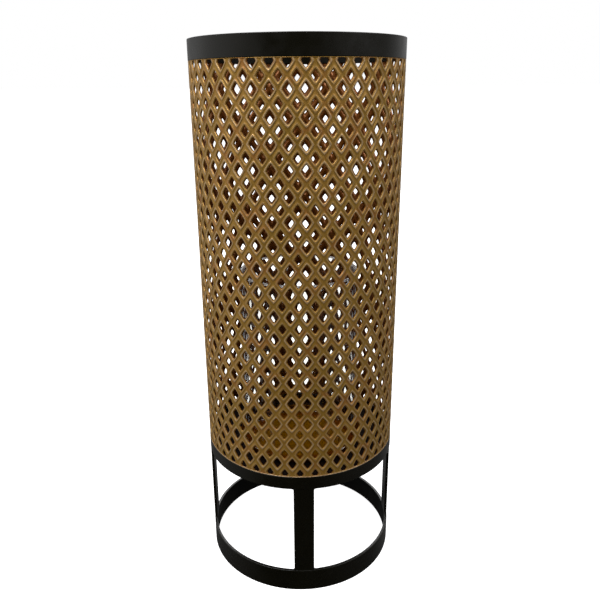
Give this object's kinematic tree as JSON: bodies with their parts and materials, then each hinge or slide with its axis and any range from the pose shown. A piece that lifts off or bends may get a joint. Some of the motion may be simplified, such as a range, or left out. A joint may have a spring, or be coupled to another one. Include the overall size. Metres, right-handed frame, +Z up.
{
  "type": "candle lantern",
  "caption": "Free-standing cylindrical candle lantern: a punched gold sleeve between black bands on an open legged base, with a loose glass chimney inside.",
  "frame": {"origin": "centre of the base ring's underside, which is the centre of the bottom face of the overall box", "axes": "+Z up along the cylinder's axis, -Y towards the front leg, +X to the right of someone facing the front"},
  "size_m": [0.152, 0.152, 0.4078],
  "materials": {
    "black_paint": "satin black powder coat on flat steel bar",
    "antique_gold": "antique gold paint on punched and embossed steel sheet, satin with darker recesses",
    "dish_gold": "darker antique gold paint on pressed steel, satin",
    "clear_glass": "clear glass with fire-polished rims"
  },
  "bodies": {
    "frame": {"base_ring": "black_paint", "leg_front": "black_paint", "leg_right": "black_paint", "leg_back": "black_paint", "leg_left": "black_paint", "lower_band": "black_paint", "mesh_sleeve": "antique_gold", "top_band": "black_paint", "floor_plate": "black_paint", "candle_dish": "dish_gold"},
    "glass": {"hurricane_glass": "clear_glass"}
  },
  "joints": [
    {"name": "glass_lift", "type": "slide", "parent": "frame", "child": "glass", "axis": [0, 0, 1], "range_m": [0, 0.32]}
  ]
}
